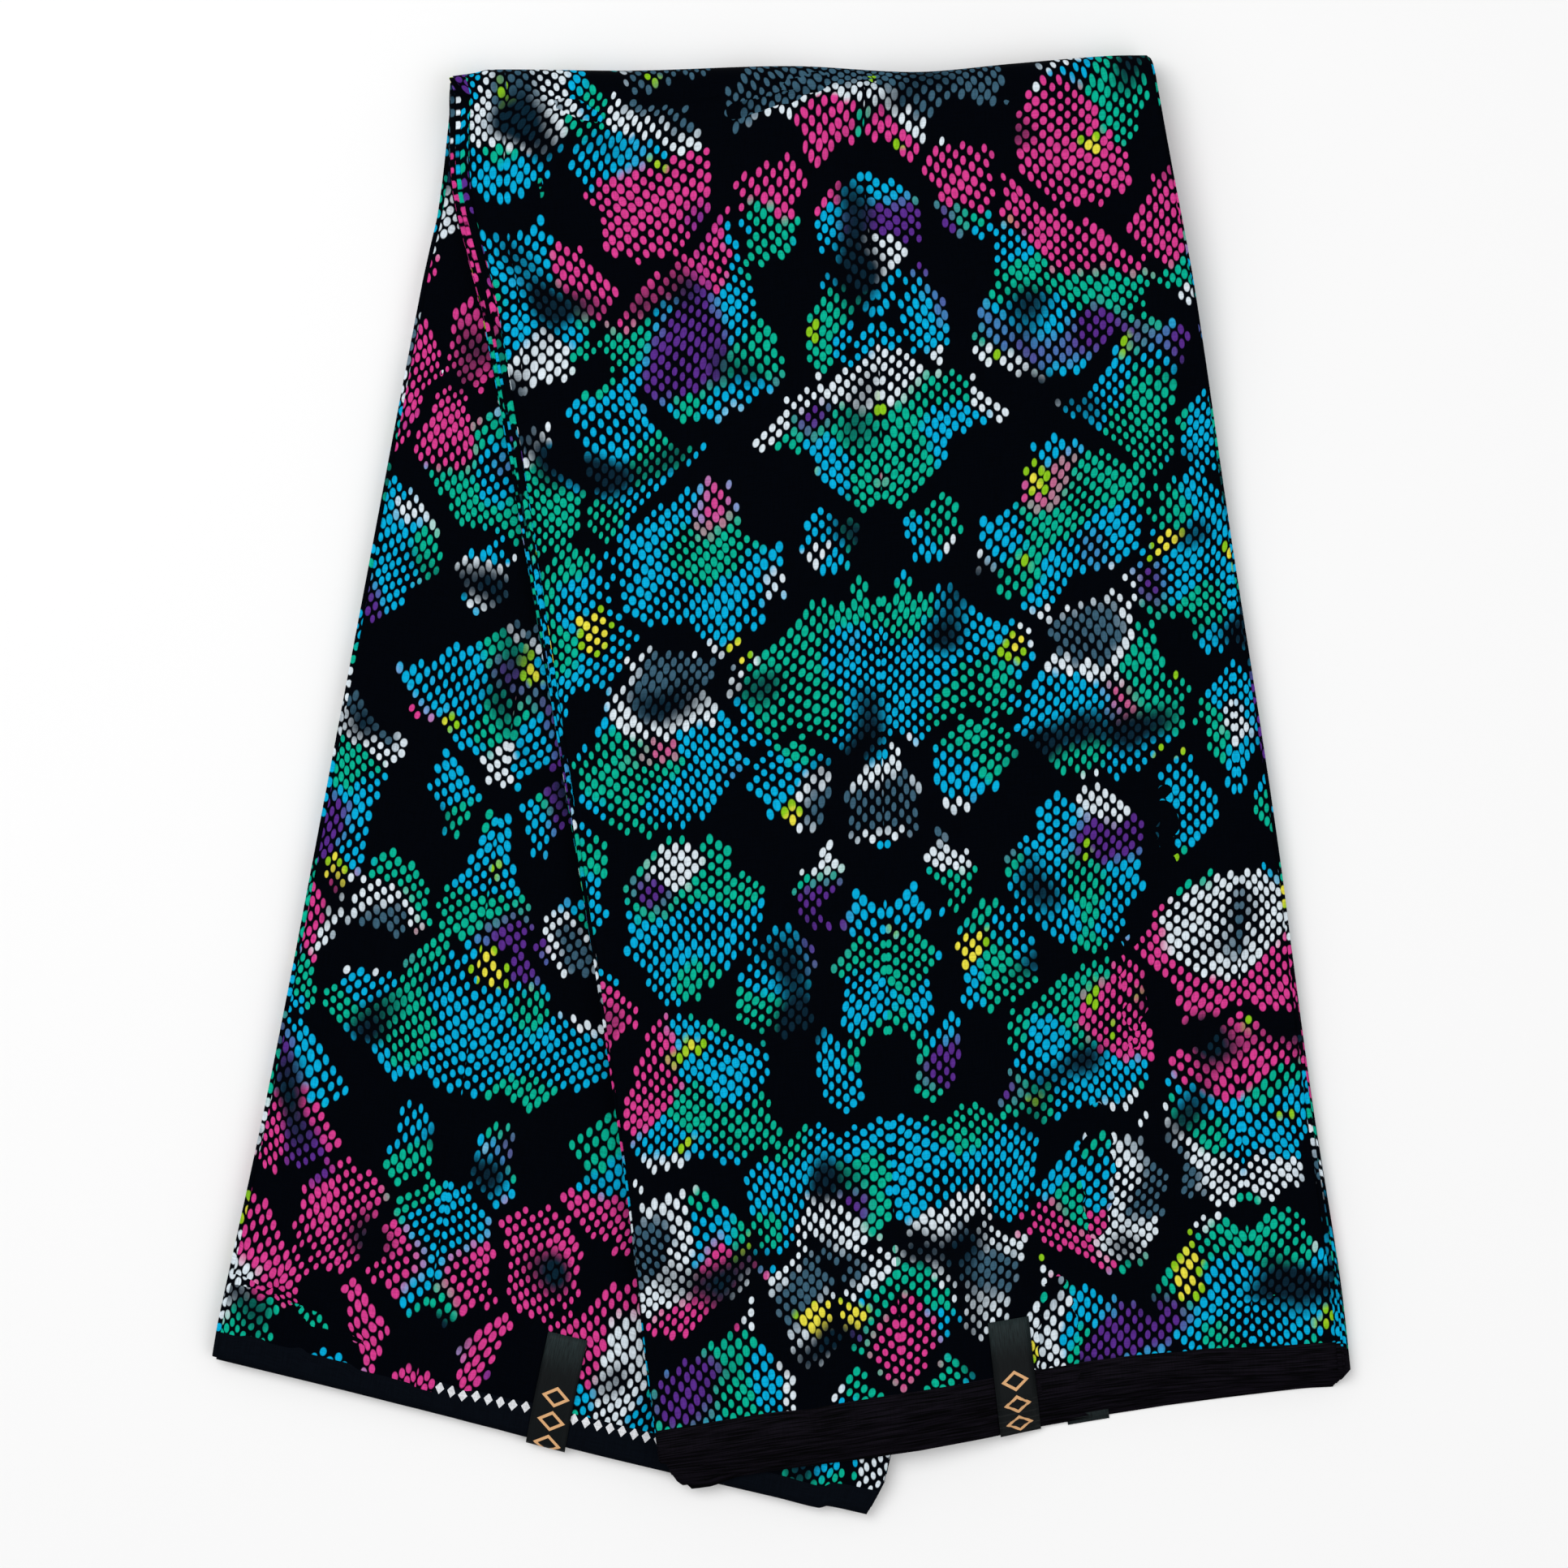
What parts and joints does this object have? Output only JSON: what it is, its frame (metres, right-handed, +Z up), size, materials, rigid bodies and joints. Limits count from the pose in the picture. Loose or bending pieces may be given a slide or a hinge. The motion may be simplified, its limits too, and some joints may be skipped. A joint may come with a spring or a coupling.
{
  "type": "folded wax print fabric",
  "caption": "Length of snakeskin-dot wax print cotton, pleated flat, folded over once across so that its two halves fan apart, with satin label bands at the selvedges.",
  "frame": {"origin": "middle of the bundle's bounding box in plan, on the table that it lies on", "axes": "+Z up off the table; +Y towards the fold across the bundle, -Y towards the selvedges; +X towards the side that the front half swings to"},
  "size_m": [0.476, 0.6072, 0.019],
  "materials": {
    "wax_print": "plain-weave cotton, wax-printed on both faces with snakeskin dots in blue, green, pink, grey and yellow on near black",
    "label_band": "black satin ribbon with plain gold marks"
  },
  "bodies": {
    "root": {"front_panel": "wax_print", "front_pleats": "wax_print", "top_fold": "wax_print", "back_panel": "wax_print", "back_pleats": "wax_print", "label_front": "label_band", "label_back": "label_band", "label_under": "label_band"}
  },
  "joints": []
}
